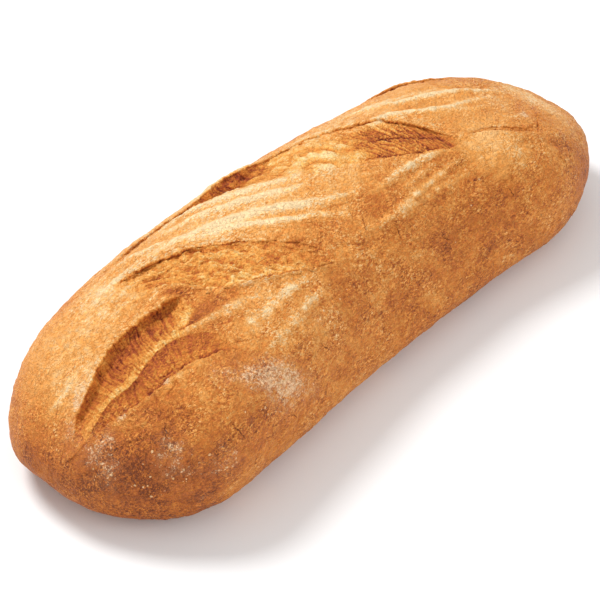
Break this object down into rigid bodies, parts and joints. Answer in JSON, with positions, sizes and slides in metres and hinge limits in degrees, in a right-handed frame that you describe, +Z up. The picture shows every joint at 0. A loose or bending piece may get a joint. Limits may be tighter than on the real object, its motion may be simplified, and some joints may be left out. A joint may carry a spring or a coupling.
{
  "type": "rustic bread loaf",
  "caption": "Long hearth-baked bread loaf with a flat base, a fatter near end, and slanting slashes torn open across its crown.",
  "frame": {"origin": "centre of the loaf's box on the flat base it rests on", "axes": "+X along the loaf from its fatter end to its slimmer end, +Z up through the crown, -Y towards the side that the slashes run down"},
  "size_m": [0.38, 0.1373, 0.0841],
  "materials": {
    "crust": "dry, matte to satin golden brown baked crust, dusted with flour, with rougher torn crumb in the slashes"
  },
  "bodies": {
    "root": {"loaf": "crust"}
  },
  "joints": []
}
